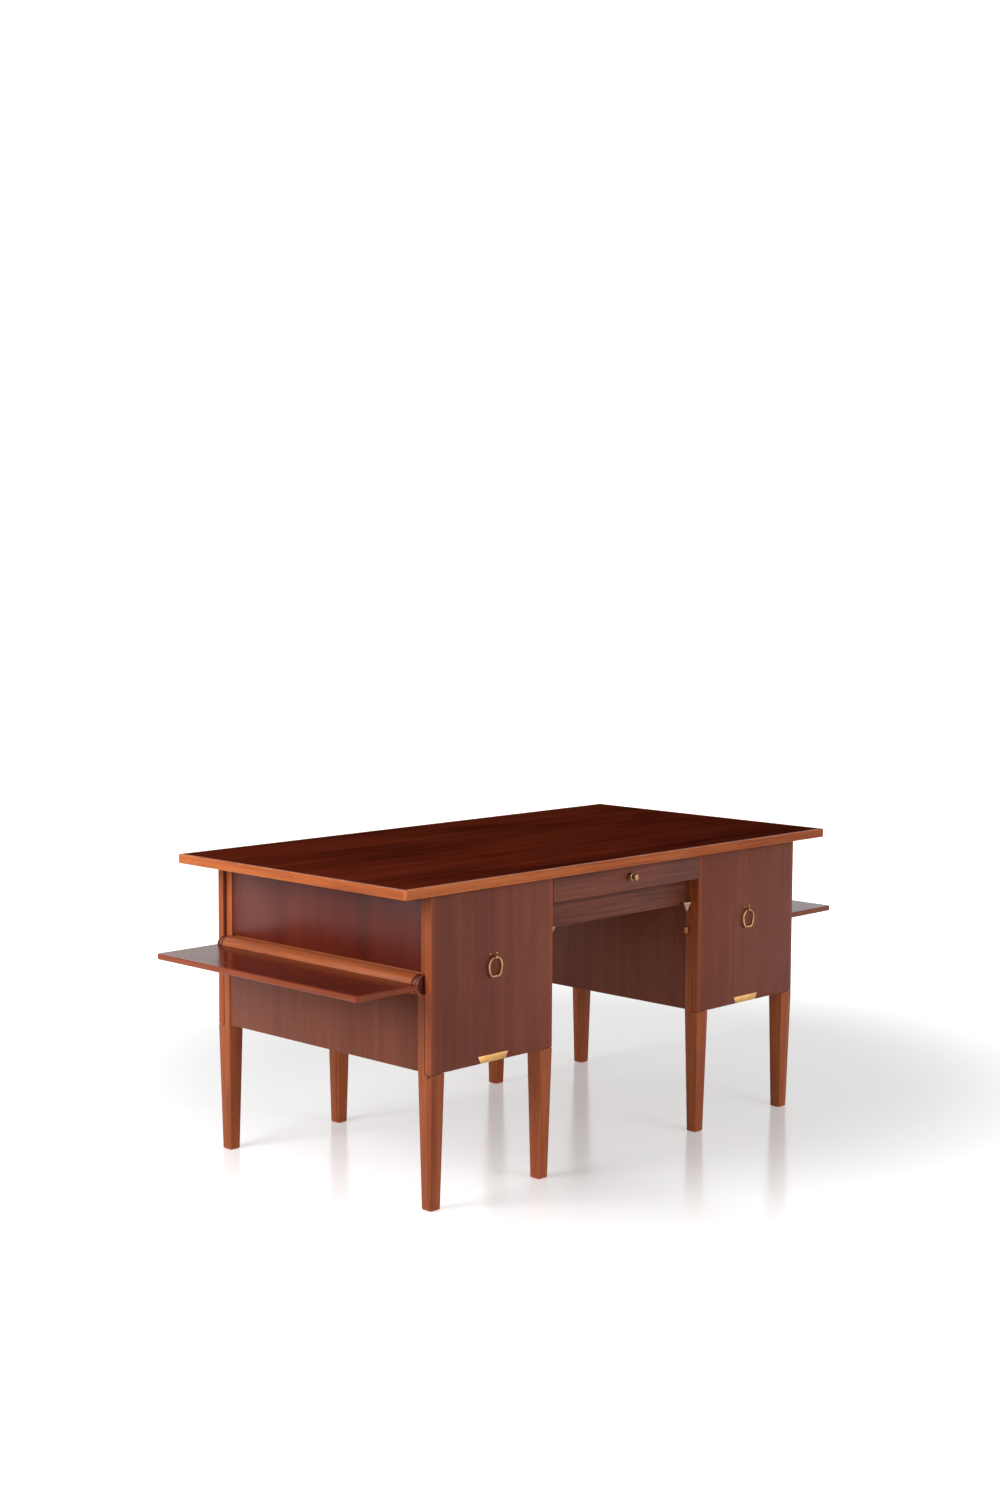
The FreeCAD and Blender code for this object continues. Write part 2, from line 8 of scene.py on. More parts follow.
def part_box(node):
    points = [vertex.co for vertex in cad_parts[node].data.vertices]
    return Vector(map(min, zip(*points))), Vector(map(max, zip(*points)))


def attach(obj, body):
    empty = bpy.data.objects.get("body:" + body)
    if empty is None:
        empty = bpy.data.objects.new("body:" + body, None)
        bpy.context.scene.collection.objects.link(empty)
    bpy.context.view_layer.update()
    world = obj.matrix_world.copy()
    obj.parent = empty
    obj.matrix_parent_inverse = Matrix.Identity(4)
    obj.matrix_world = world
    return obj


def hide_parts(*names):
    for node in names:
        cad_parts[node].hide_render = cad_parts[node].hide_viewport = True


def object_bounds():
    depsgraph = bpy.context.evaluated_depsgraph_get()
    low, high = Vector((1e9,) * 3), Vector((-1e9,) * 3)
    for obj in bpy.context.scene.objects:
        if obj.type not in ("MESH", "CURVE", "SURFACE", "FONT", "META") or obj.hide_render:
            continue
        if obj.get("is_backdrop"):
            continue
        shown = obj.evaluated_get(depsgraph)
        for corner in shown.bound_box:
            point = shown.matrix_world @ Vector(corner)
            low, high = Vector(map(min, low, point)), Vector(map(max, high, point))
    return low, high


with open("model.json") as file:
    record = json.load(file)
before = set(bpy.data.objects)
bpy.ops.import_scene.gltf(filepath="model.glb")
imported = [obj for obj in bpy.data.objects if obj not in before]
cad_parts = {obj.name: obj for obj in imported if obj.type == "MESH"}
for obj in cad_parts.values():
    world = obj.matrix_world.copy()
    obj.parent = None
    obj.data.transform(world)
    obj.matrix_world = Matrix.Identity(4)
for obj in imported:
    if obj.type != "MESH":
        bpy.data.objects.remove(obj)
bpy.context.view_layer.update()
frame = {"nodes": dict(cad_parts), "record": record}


# Legs: eight square legs of solid red-brown wood, tapered to the foot and running up as the
# corner posts of the pedestals. Planed, with hand-eased arrises, and finished with a satin lacquer.
class Shade:
    """A socket of a material's tree. Sums on it add Math nodes; node() adds any other."""

    def __init__(self, socket):
        self.socket = socket

    def node(self, kind, settings, inputs, output=0):
        tree = self.socket.id_data
        made = tree.nodes.new(kind)
        for name, value in settings.items():
            if name == "stops":
                elements = made.color_ramp.elements
                elements[0].position, elements[0].color = value[0][0], (*value[0][1], 1)
                elements[1].position, elements[1].color = value[-1][0], (*value[-1][1], 1)
                for place, colour in value[1:-1]:
                    elements.new(place).color = (*colour, 1)
            else:
                setattr(made, name, value)
        for name, value in inputs.items():
            if isinstance(value, Shade):
                tree.links.new(value.socket, made.inputs[name])
            else:
                made.inputs[name].default_value = value
        return Shade(made.outputs[output])

    def sum(self, operation, first, second):
        return self.node("ShaderNodeMath", {"operation": operation}, {0: first, 1: second})

    def __add__(self, other):
        return self.sum("ADD", self, other)

    def __radd__(self, other):
        return self.sum("ADD", other, self)

    def __sub__(self, other):
        return self.sum("SUBTRACT", self, other)

    def __rsub__(self, other):
        return self.sum("SUBTRACT", other, self)

    def __mul__(self, other):
        return self.sum("MULTIPLY", self, other)

    def __rmul__(self, other):
        return self.sum("MULTIPLY", other, self)

    def __gt__(self, other):
        return self.sum("GREATER_THAN", self, other)

    def __lt__(self, other):
        return self.sum("LESS_THAN", self, other)

    def __abs__(self):
        return self.sum("ABSOLUTE", self, 0.0)


def tone(red, green, blue):
    """A colour as it is seen on the wood, 0 to 255, as the shader's linear values."""
    shares = [level / 255 for level in (red, green, blue)]
    return tuple(share / 12.92 if share <= 0.04 else ((share + 0.055) / 1.055) ** 2.4 for share in shares)


def bare_material(name):
    """A new material, its surface shader, and the place on the object that its patterns follow."""
    material = bpy.data.materials.new(name)
    material.use_nodes = True
    surface = material.node_tree.nodes["Principled BSDF"]
    place = Shade(material.node_tree.nodes.new("ShaderNodeTexCoord").outputs["Object"])
    return material, surface, place


def link(value, socket):
    socket.id_data.links.new(value.socket, socket)


def blend_colour(mask, first, second):
    return mask.node("ShaderNodeMix", {"data_type": "RGBA"}, {0: mask, 6: first, 7: second}, 2)


def grain_along(axis):
    """The stretch that draws a pattern out along one axis of the desk."""
    def stretched(place, draw=0.022):
        scale = [1.0, 1.0, 1.0]
        scale[axis] = draw
        return place.node("ShaderNodeMapping", {}, {"Vector": place, "Scale": scale})
    return stretched


def noise(place, scale, detail=3.0, rough=0.55, warp=0.0):
    return place.node("ShaderNodeTexNoise", {}, {"Vector": place, "Scale": scale, "Detail": detail,
                                                 "Roughness": rough, "Distortion": warp})


def ranged(value, least, most, low=0.0, high=1.0):
    """The value's span from least to most, spread over low to high and held there."""
    return value.node("ShaderNodeMapRange", {"clamp": True},
                      {"Value": value, "From Min": least, "From Max": most, "To Min": low, "To Max": high})


def wood(name, run, tones, figure=1.0, lipped=None, lip_tones=None,
         gloss=0.44, sheen=0.15, warp=0.35, streak=46.0):
    """Sawn wood: slow drift, streaks, fine lines and open pores along the grain, and rubbed arrises."""
    material, surface, place = bare_material(name)
    grain = run(place)
    drift = noise(run(place, 0.3), 5.0, 2.0, 0.5, 0.6)
    streaks = noise(grain, streak, 5.0, 0.62, warp)
    lines = noise(grain, 380.0, 3.0, 0.6)
    pores = noise(grain, 1150.0, 2.0, 0.5)
    open_pore = ranged(pores, 0.58, 0.72)
    mixed = 0.5 + figure * (0.8 * (streaks - 0.5) + 0.8 * (drift - 0.5) + 0.4 * (lines - 0.5))

    def toned(dark_to_light):
        stops = list(zip((0.28, 0.5, 0.74), dark_to_light))
        return mixed.node("ShaderNodeValToRGB", {"stops": stops}, {"Fac": mixed})

    colour = toned(tones)
    if lipped:
        colour = blend_colour(lipped(place), colour, toned(lip_tones))
    dark, light = tones[0], tones[-1]
    colour = blend_colour(0.34 * open_pore, colour, (*[0.35 * v for v in dark], 1))
    arris = place.node("ShaderNodeAttribute", {"attribute_name": "arris"}, {}, 2)
    rubbed = arris * ranged(noise(place, 22.0, 3.0), 0.36, 0.62, 0.1, 0.6)
    colour = blend_colour(rubbed, colour, (*[1.5 * v for v in light], 1))
    link(colour, surface.inputs["Base Color"])
    smudge = noise(place, 9.0, 3.0)
    link(gloss + 0.16 * (smudge - 0.5) + 0.12 * open_pore - 0.12 * rubbed, surface.inputs["Roughness"])
    height = 0.6 * lines - 0.7 * open_pore
    bump = height.node("ShaderNodeBump", {}, {"Height": height, "Strength": 0.16, "Distance": 0.0006})
    link(bump, surface.inputs["Normal"])
    surface.inputs["Specular IOR Level"].default_value = sheen
    return material


def join(shapes):
    """Several shapes as one."""
    whole = shapes[0]
    for extra in shapes[1:]:
        mesh = bpy.data.meshes.new("joined")
        extra.to_mesh(mesh)
        extra.free()
        whole.from_mesh(mesh)
        bpy.data.meshes.remove(mesh)
    return whole


def shells(mesh):
    """The mesh's closed solids, each as a list of faces, cut where the run of faces leaves no edge open."""
    faces, open_edges = [], set()
    for polygon in mesh.polygons:
        corners = [tuple(mesh.vertices[index].co) for index in polygon.vertices]
        faces.append(corners)
        for edge in zip(corners, corners[1:] + corners[:1]):
            if edge[::-1] in open_edges:
                open_edges.remove(edge[::-1])
            else:
                open_edges.add(edge)
        if not open_edges:
            yield faces
            faces = []
    if faces:
        yield faces


def eased(node, ease):
    """A node's solids, each with its sharp outer arrises taken off and its narrow faces marked."""
    widest_arris = 0.0024
    made = []
    for faces in shells(frame["nodes"][node].data):
        shape = bmesh.new()
        for corners in faces:
            shape.faces.new([shape.verts.new(corner) for corner in corners])
        bmesh.ops.remove_doubles(shape, verts=shape.verts, dist=1e-5)
        bmesh.ops.dissolve_limit(shape, angle_limit=math.radians(0.5), verts=shape.verts, edges=shape.edges)
        if ease:
            arrises = [edge for edge in shape.edges
                       if len(edge.link_faces) == 2 and edge.calc_face_angle_signed() > math.radians(40)]
            bmesh.ops.bevel(shape, geom=arrises, offset=ease, segments=2, profile=0.5,
                            affect="EDGES", clamp_overlap=True)
            bmesh.ops.dissolve_degenerate(shape, dist=1e-6, edges=shape.edges)
        arris = shape.faces.layers.float.new("arris")
        for face in shape.faces:
            face[arris] = float(2 * face.calc_area() < widest_arris * face.calc_perimeter())
        made.append(shape)
    return join(made)


def settle(shape, name, body, slot, finish, *nodes):
    """Makes the shape a piece of the desk, on its body, in place of the solids that it stands for."""
    mesh = bpy.data.meshes.new(name)
    shape.to_mesh(mesh)
    shape.free()
    mesh.shade_smooth()
    mesh.set_sharp_from_angle(angle=math.radians(25))
    mesh.materials.append(finish)
    piece = bpy.data.objects.new(name, mesh)
    bpy.context.scene.collection.objects.link(piece)
    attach(piece, body)
    if nodes:
        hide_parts(*nodes)


body_of = {node: body for body, nodes in frame["record"]["behaviour"]["bodies"].items() for node in nodes}
slot_of = {subpart["node"]: subpart["material_slot"] for subpart in frame["record"]["subparts"]}


def finish_node(node, ease, finish):
    """The node's own shape with eased arrises and a finish."""
    settle(eased(node, ease), node + "_finished", body_of[node], slot_of[node], finish, node)


solid_tones = (tone(124, 57, 30), tone(160, 83, 46), tone(184, 103, 61))
upright_solid = wood("upright_solid_wood", grain_along(2), solid_tones, figure=0.8)
quarters = [f"{face}_{side}" for face in ("front", "back") for side in ("left", "right")]
for quarter in quarters:
    finish_node(f"{quarter}_outer_leg", 0.0011, upright_solid)
    finish_node(f"{quarter}_inner_leg", 0.0011, upright_solid)


# Pedestal panels: the closed ends and kneehole sides, blockboard faced with brown veneer whose
# grain stands upright, glued into grooves in the posts. The floors are faced the same way. The upper
# ends are polished so that the leaf is mirrored in them, and their veneer is painted darker and
# redder than the lower ends': painted shade under the overhanging top.
veneer_tones = (tone(84, 41, 31), tone(115, 62, 47), tone(138, 80, 62))
panel_tones = (tone(84, 40, 27), tone(115, 60, 42), tone(138, 78, 57))
# Painted shade: the upper ends' tones are darker and redder to stand for the overhanging top's shade.
upper_painted_shade_tones = (tone(70, 15, 5), tone(94, 28, 11), tone(112, 40, 20))
upright_veneer = wood("upright_veneer", grain_along(2), panel_tones, figure=0.45, warp=1.0, streak=24.0)
shaded_veneer = wood("upper_end_veneer_painted_shade", grain_along(2), upper_painted_shade_tones, figure=0.7,
                     gloss=0.36, sheen=0.23, warp=1.0, streak=16.0)
deep_veneer = wood("floor_veneer", grain_along(0), veneer_tones, figure=0.75, gloss=0.45)
for side in ("left", "right"):
    finish_node(f"{side}_lower_end_panel", 0.0007, upright_veneer)
    finish_node(f"{side}_upper_end_panel", 0.0007, shaded_veneer)
    finish_node(f"{side}_kneehole_panel", 0.0007, upright_veneer)
    finish_node(f"{side}_pedestal_floor", 0.0007, deep_veneer)


# Coved rails: solid wood between the outer posts, hollowed along the outside for the leaf's rod
# to turn in. The stop key stands at the back of the hollow.
deep_solid = wood("deep_solid_wood", grain_along(1), solid_tones, figure=0.8)
for side in ("left", "right"):
    finish_node(f"{side}_cove_rail", 0.0007, deep_solid)


# Pedestal insides: plain pale wood, planed and left without polish. Crowns close the pedestals
# under the top, dividers part the two faces, and a shelf lies on turned brass pins on each side.
pale_tones = (tone(150, 108, 68), tone(182, 138, 94), tone(204, 164, 120))
pale_wood = wood("pale_inner_wood", grain_along(0), pale_tones, figure=0.8, gloss=0.6, sheen=0.3)
pale_upright = wood("pale_divider_wood", grain_along(2), pale_tones, figure=0.8, gloss=0.6, sheen=0.3)
pale_deep = wood("pale_runner_wood", grain_along(1), pale_tones, figure=0.8, gloss=0.6, sheen=0.3)
for side in ("left", "right"):
    finish_node(f"{side}_pedestal_crown", 0.0008, pale_wood)
    finish_node(f"{side}_pedestal_divider", 0.0008, pale_upright)
    finish_node(f"{side}_shelves", 0.0012, pale_wood)


def metal(name, bright, dull, gloss, brushed, streaks=0.0):
    """Turned or drawn metal: a drawn grain, dull patches where it is not handled, and fine scratches; given a
    streak scale, upright streaks take the patches' place as a painted reflection.
    """
    material, surface, place = bare_material(name)
    patches_and_painted_streaks = noise(brushed(place), streaks, 2.0, 0.5) if streaks else noise(place, 55.0, 4.0, 0.6)
    specks = noise(place, 420.0, 3.0, 0.7)
    drawn = noise(brushed(place), 900.0, 2.0, 0.5)
    wear_and_painted_streaks = ranged(0.7 * patches_and_painted_streaks + 0.3 * specks, 0.36, 0.68)
    link(blend_colour(wear_and_painted_streaks, (*dull, 1), (*bright, 1)), surface.inputs["Base Color"])
    link(gloss + 0.14 * (1 - wear_and_painted_streaks) + 0.1 * (drawn - 0.5), surface.inputs["Roughness"])
    height = drawn + 0.5 * specks
    bump = height.node("ShaderNodeBump", {}, {"Height": height, "Strength": 0.1, "Distance": 0.0002})
    link(bump, surface.inputs["Normal"])
    surface.inputs["Metallic"].default_value = 1.0
    return material


def turned(profile, start, along, sides=40, tube=False):
    """A turned shape: (distance, radius) pairs spun about a line, closed at both ends or round to a tube."""
    along = Vector(along).normalized()
    first = along.orthogonal().normalized()
    second = along.cross(first)
    shape = bmesh.new()
    loops = []
    for distance, radius in profile:
        loop = []
        for side in range(sides):
            angle = 2 * math.pi * side / sides
            spoke = first * math.cos(angle) + second * math.sin(angle)
            loop.append(shape.verts.new(Vector(start) + along * distance + spoke * radius))
        loops.append(loop)
    for near, far in zip(loops, loops[1:] + loops[:1] if tube else loops[1:]):
        for side in range(sides):
            beside = (side + 1) % sides
            shape.faces.new((near[side], near[beside], far[beside], far[side]))
    if not tube:
        shape.faces.new(list(reversed(loops[0])))
        shape.faces.new(loops[-1])
    bmesh.ops.recalc_face_normals(shape, faces=shape.faces)
    return shape


def round_pins(node, axis, share=1.0):
    """The node's many-sided pins turned round again, each through the same stations along its own axis."""
    solids = bmesh.new()
    solids.from_mesh(frame["nodes"][node].data)
    bmesh.ops.remove_doubles(solids, verts=solids.verts, dist=1e-5)
    left = set(solids.verts)
    pins = []
    while left:
        reached = [left.pop()]
        for vert in reached:
            for edge in vert.link_edges:
                other = edge.other_vert(vert)
                if other in left:
                    left.remove(other)
                    reached.append(other)
        points = [vert.co for vert in reached]
        middle = [(min(p[k] for p in points) + max(p[k] for p in points)) / 2 for k in range(3)]
        foot = min(p[axis] for p in points)
        others = [k for k in range(3) if k != axis]
        measured = set()
        for p in points:
            radius = share * math.hypot(*(p[k] - middle[k] for k in others))
            measured.add((round(p[axis] - foot, 5), round(radius, 5)))
        stations = []
        while measured:
            last = stations[-1][1] if stations else 0.0
            stations.append(min(measured, key=lambda station: (station[0], abs(station[1] - last))))
            measured.remove(stations[-1])
        start = Vector(middle)
        start[axis] = foot
        along = Vector((0, 0, 0))
        along[axis] = 1.0
        pins.append(turned(stations, start, along, sides=24))
    solids.free()
    return join(pins)


brass = metal("worn_brass", tone(220, 176, 116), tone(188, 138, 80), 0.3, grain_along(0))
flat_to_corner = math.cos(math.pi / 8)
shelf_pins = round_pins("shelf_pins", 0, flat_to_corner)
settle(shelf_pins, "shelf_pins_turned", "carcass", "brass", brass, "shelf_pins")


# Kneehole frame: a set-back apron on each face, veneered with level grain, and inside it the
# pale drawer runners and the rail that ties the pedestals together under the top.
level_veneer = wood("level_veneer", grain_along(0), veneer_tones, figure=0.95, warp=0.9, streak=95.0)
finish_node("kneehole_aprons", 0.0008, level_veneer)
finish_node("drawer_runners", 0.0008, pale_deep)
finish_node("centre_rail", 0.0008, pale_wood)


# Desktop: a heavy board veneered along its length in dark red-brown, waxed, drawn fully matt without
# sheen, inside a mitred lipping of solid wood whose outer arris is chamfered.
top_tones = (tone(64, 20, 11), tone(102, 37, 21), tone(124, 50, 29))
top_veneer = wood("dark_top_veneer", grain_along(0), top_tones, figure=0.8, gloss=0.5, sheen=0.0)
finish_node("desktop", 0.0, top_veneer)
lipping_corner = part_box("desktop_lipping")[1]


def mitred_grain(place, draw=0.022):
    """Grain along each side of the frame, changing on the corners' diagonals."""
    parts = [place.node("ShaderNodeSeparateXYZ", {}, {0: place}, axis) for axis in (0, 1)]
    at_end = (lipping_corner.x - abs(parts[0])) < (lipping_corner.y - abs(parts[1]))
    along = grain_along(0)(place, draw)
    across = grain_along(1)(place, draw)
    return at_end.node("ShaderNodeMix", {"data_type": "VECTOR"}, {0: at_end, 4: along, 5: across}, 1)


lipping_tones = (tone(140, 67, 35), tone(180, 97, 54), tone(206, 120, 69))
lipping_wood = wood("mitred_lipping_wood", mitred_grain, lipping_tones, figure=0.8, gloss=0.44, sheen=0.07)
finish_node("desktop_lipping", 0.0, lipping_wood)


# Doors: veneered boards lying over the posts, upright grain, with a narrow lipping of solid wood
# glued to their two upright edges. Steel pins at the outer corners carry them.
door_low, door_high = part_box("front_right_door")
door_lipping_width = 0.012
door_arris_width = 0.0012
lipping_on_face = 0.32


def door_edges(place):
    """How far the solid lipping shows: faintly on a strip of the face, fully on the edge itself."""
    across = abs(place.node("ShaderNodeSeparateXYZ", {}, {0: place}, 0))
    strip = (across < door_low.x + door_lipping_width) + (across > door_high.x - door_lipping_width)
    edge = (across < door_low.x + door_arris_width) + (across > door_high.x - door_arris_width)
    return lipping_on_face * strip + (1 - lipping_on_face) * edge


edge_tones = (tone(126, 56, 28), tone(164, 82, 44), tone(190, 106, 64))
door_tones = (tone(84, 37, 26), tone(115, 57, 40), tone(138, 76, 56))
door_veneer = wood("door_veneer", grain_along(2), door_tones, figure=0.4,
                   lipped=door_edges, lip_tones=edge_tones, warp=1.0, streak=30.0)
for quarter in quarters:
    finish_node(f"{quarter}_door", 0.0008, door_veneer)

dark_steel = metal("dark_pin_steel", tone(120, 116, 112), tone(70, 66, 62), 0.35, grain_along(2))
settle(round_pins("door_pivots", 2), "door_pivots_turned", "carcass", "steel", dark_steel, "door_pivots")


# Door plates: dovetail-shaped brass plates let flush into the foot of each door, filed and
# rubbed along their length.
for quarter in quarters:
    finish_node(f"{quarter}_door_plate", 0.0005, brass)


# Ring pulls: a drawn brass wire bent to a ring with a flat foot, hung in a drilled eye whose shank
# goes into the door. Two domed studs are driven in above the eye.
ring_half_width = 0.021
ring_crown = 0.019
ring_skirt = 0.0305
ring_flat = 0.025
wire_radius = 0.002
wire_swell = 0.0008
ring_brass = metal("handled_ring_brass", tone(208, 164, 114), tone(134, 92, 58), 0.26, grain_along(1))


def bent_ring(node):
    """The ring's bent wire, drawn thinner towards the crown, where it hangs in its eye."""
    low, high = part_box(node)
    middle = Vector(((low.x + high.x) / 2, (low.y + high.y) / 2, high.z - ring_crown - wire_radius))
    steps, sides, corner_ease = 84, 16, 0.0003
    path = []
    for step in range(steps):
        turn = 2 * math.pi * (step + 0.5) / steps
        rise = ring_crown if math.sin(turn) > 0 else ring_skirt
        oval = 1 / math.hypot(math.cos(turn) / ring_half_width, math.sin(turn) / rise)
        reach = oval
        if math.sin(turn) < -0.3:
            flat = ring_flat / -math.sin(turn)
            reach = -corner_ease * math.log(math.exp(-oval / corner_ease) + math.exp(-flat / corner_ease))
        path.append(middle + Vector((reach * math.cos(turn), 0, reach * math.sin(turn))))
    shape = bmesh.new()
    rings = []
    for step in range(steps):
        radius = wire_radius + wire_swell * (1 - math.sin(2 * math.pi * (step + 0.5) / steps)) / 2
        forward = (path[(step + 1) % steps] - path[step - 1]).normalized()
        outward = forward.cross(Vector((0, 1, 0)))
        loop = []
        for side in range(sides):
            angle = 2 * math.pi * side / sides
            spoke = outward * math.cos(angle) + Vector((0, 1, 0)) * math.sin(angle)
            loop.append(shape.verts.new(path[step] + radius * spoke))
        rings.append(loop)
    for step in range(steps):
        after = rings[(step + 1) % steps]
        for side in range(sides):
            beside = (side + 1) % sides
            shape.faces.new((rings[step][side], rings[step][beside], after[beside], after[side]))
    bmesh.ops.recalc_face_normals(shape, faces=shape.faces)
    return shape


def rounded_block(low, high, ease):
    """A small block with its arrises filed round."""
    shape = bmesh.new()
    size = Vector(high) - Vector(low)
    bmesh.ops.create_cube(shape, size=1.0, matrix=Matrix.Translation((Vector(low) + Vector(high)) / 2)
                          @ Matrix.Diagonal((*size, 1.0)))
    bmesh.ops.bevel(shape, geom=shape.edges[:], offset=ease, segments=2, profile=0.5, affect="EDGES")
    return shape


def ring_eye(pivot, inward):
    """The eye that the ring hangs in: a short drilled barrel on a shank that goes into the door."""
    half, bore, outside, ease, narrower, shank_reach = 0.0035, 0.0025, 0.0045, 0.0005, 0.0004, 0.006
    wall = [(-half, bore + ease), (-half, outside - ease), (ease - half, outside), (half - ease, outside),
            (half, outside - ease), (half, bore + ease), (half - ease, bore), (ease - half, bore)]
    near, far = sorted((pivot.y + inward * (bore + narrower), pivot.y + inward * shank_reach))
    shank = rounded_block((pivot.x - half + narrower, near, pivot.z - outside / 2),
                          (pivot.x + half - narrower, far, pivot.z + outside / 2), narrower)
    return join([turned(wall, pivot, (1, 0, 0), sides=32, tube=True), shank])


def head_tree(name, slotted):
    """A tree that sets one turned head on every point, facing along the point's own direction."""
    tree = bpy.data.node_groups.new(name, "GeometryNodeTree")
    labels = [("Points", "Geometry"), ("Foot radius", "Float"), ("Height", "Float"), ("Metal", "Material")]
    if slotted:
        labels += [("Crown radius", "Float"), ("Slot width", "Float")]
    for label, kind in labels:
        tree.interface.new_socket(label, in_out="INPUT", socket_type="NodeSocket" + kind)
    tree.interface.new_socket("Heads", in_out="OUTPUT", socket_type="NodeSocketGeometry")
    given = tree.nodes.new("NodeGroupInput")
    result = tree.nodes.new("NodeGroupOutput")

    def add(kind, links, **settings):
        node = tree.nodes.new(kind)
        for key, value in settings.items():
            setattr(node, key, value)
        for socket, source in links.items():
            if isinstance(source, bpy.types.NodeSocket):
                tree.links.new(source, node.inputs[socket])
            else:
                node.inputs[socket].default_value = source
        return node

    foot, height = given.outputs["Foot radius"], given.outputs["Height"]
    if not slotted:
        ball = add("GeometryNodeMeshUVSphere", {"Segments": 20, "Rings": 10, "Radius": foot}).outputs["Mesh"]
        flatness = add("ShaderNodeMath", {0: height, 1: foot}, operation="DIVIDE").outputs[0]
        scale = add("ShaderNodeCombineXYZ", {"X": 1.0, "Y": 1.0, "Z": flatness}).outputs[0]
        shape = add("GeometryNodeTransform", {"Geometry": ball, "Scale": scale}).outputs[0]
    else:
        crown, slot_width = given.outputs["Crown radius"], given.outputs["Slot width"]
        shape = add("GeometryNodeMeshCone", {"Vertices": 24, "Radius Top": crown, "Radius Bottom": foot,
                                             "Depth": height}).outputs["Mesh"]
        length = add("ShaderNodeMath", {0: foot, 1: 3.0}, operation="MULTIPLY").outputs[0]
        size = add("ShaderNodeCombineXYZ", {"X": length, "Y": slot_width, "Z": height}).outputs[0]
        lift = add("ShaderNodeCombineXYZ", {"Z": height}).outputs[0]
        cutter = add("GeometryNodeMeshCube", {"Size": size}).outputs["Mesh"]
        cutter = add("GeometryNodeTransform", {"Geometry": cutter, "Translation": lift}).outputs[0]
        shape = add("GeometryNodeMeshBoolean", {"Mesh 1": shape, "Mesh 2": cutter},
                    operation="DIFFERENCE").outputs["Mesh"]
    facing = add("GeometryNodeInputNamedAttribute", {"Name": "facing"}, data_type="FLOAT_VECTOR").outputs[0]
    aimed = add("FunctionNodeAlignRotationToVector", {"Vector": facing}, axis="Z").outputs[0]
    placed = add("GeometryNodeInstanceOnPoints", {"Points": given.outputs["Points"], "Instance": shape,
                                                  "Rotation": aimed}).outputs[0]
    spin = add("FunctionNodeRandomValue", {"Seed": 11}, data_type="FLOAT")
    spin.inputs[2].default_value = 0.0
    spin.inputs[3].default_value = math.pi
    twist = add("ShaderNodeCombineXYZ", {"Z": spin.outputs[1]}).outputs[0]
    placed = add("GeometryNodeRotateInstances", {"Instances": placed, "Rotation": twist}).outputs[0]
    whole = add("GeometryNodeRealizeInstances", {"Geometry": placed}).outputs[0]
    done = add("GeometryNodeSetMaterial", {"Geometry": whole, "Material": given.outputs["Metal"]}).outputs[0]
    tree.links.new(done, result.inputs[0])
    return tree


def set_heads(tree, name, body, slot, finish, places, sizes):
    """Runs the tree on a set of (point, direction) pairs and keeps the heads as one plain mesh."""
    mesh = bpy.data.meshes.new(name + "_places")
    mesh.from_pydata([point for point, direction in places], [], [])
    facing = mesh.attributes.new("facing", "FLOAT_VECTOR", "POINT")
    for entry, (point, direction) in zip(facing.data, places):
        entry.vector = direction
    carrier = bpy.data.objects.new(name + "_places", mesh)
    bpy.context.scene.collection.objects.link(carrier)
    modifier = carrier.modifiers.new("heads", "NODES")
    modifier.node_group = tree
    sockets = {item.name: item.identifier for item in tree.interface.items_tree if item.in_out == "INPUT"}
    for label, value in sizes.items():
        modifier[sockets[label]] = value
    modifier[sockets["Metal"]] = finish
    evaluated = carrier.evaluated_get(bpy.context.evaluated_depsgraph_get())
    heads = bpy.data.meshes.new_from_object(evaluated)
    shape = bmesh.new()
    shape.from_mesh(heads)
    bpy.data.objects.remove(carrier)
    bpy.data.meshes.remove(heads)
    settle(shape, name, body, slot, finish)


stud_tree = head_tree("domed_studs", False)
stud_spread = 0.021
stud_rise = 0.006
for quarter in quarters:
    out = -1 if quarter.startswith("front") else 1
    ring, staple = f"{quarter}_ring", f"{quarter}_ring_staple"
    settle(bent_ring(ring), ring + "_bent", body_of[ring], slot_of[ring], ring_brass, ring)
    low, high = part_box(ring)
    pivot = Vector(((low.x + high.x) / 2, (low.y + high.y) / 2, high.z - wire_radius))
    settle(ring_eye(pivot, -out), ring + "_eye", body_of[staple], "brass", ring_brass, staple)
    seats = [((pivot.x + x, out * abs(door_low.y), high.z + stud_rise), (0, out, 0))
             for x in (-stud_spread / 2, stud_spread / 2)]
    set_heads(stud_tree, ring + "_studs", body_of[staple], "brass", ring_brass, seats,
              {"Foot radius": 0.0026, "Height": 0.0017})


# Leaves: a veneered board with a solid lipped edge, glued to a turned rod that lies in the cove.
# The rod's ends show dark end grain, painted darker still as painted shade on the end faces. Brass straps,
# let into the posts, hold its necks.
leaf_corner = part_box("right_leaf")[1]
rod_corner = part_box("right_leaf_rod")[1]
outer_lipping_width = 0.008
end_lipping_width = 0.006
end_face_depth = 0.0005


def leaf_edges(place):
    """The lipping along the leaf's outer edge and its two ends."""
    parts = [place.node("ShaderNodeSeparateXYZ", {}, {0: place}, axis) for axis in (0, 1)]
    outer = abs(parts[0]) > leaf_corner.x - outer_lipping_width
    ends = abs(parts[1]) > leaf_corner.y - end_lipping_width
    return outer + ends - outer * ends


def rod_end_grain_and_shade(place):
    """The rod's two end faces: dark end grain, painted darker still as painted shade."""
    return abs(place.node("ShaderNodeSeparateXYZ", {}, {0: place}, 1)) > rod_corner.y - end_face_depth


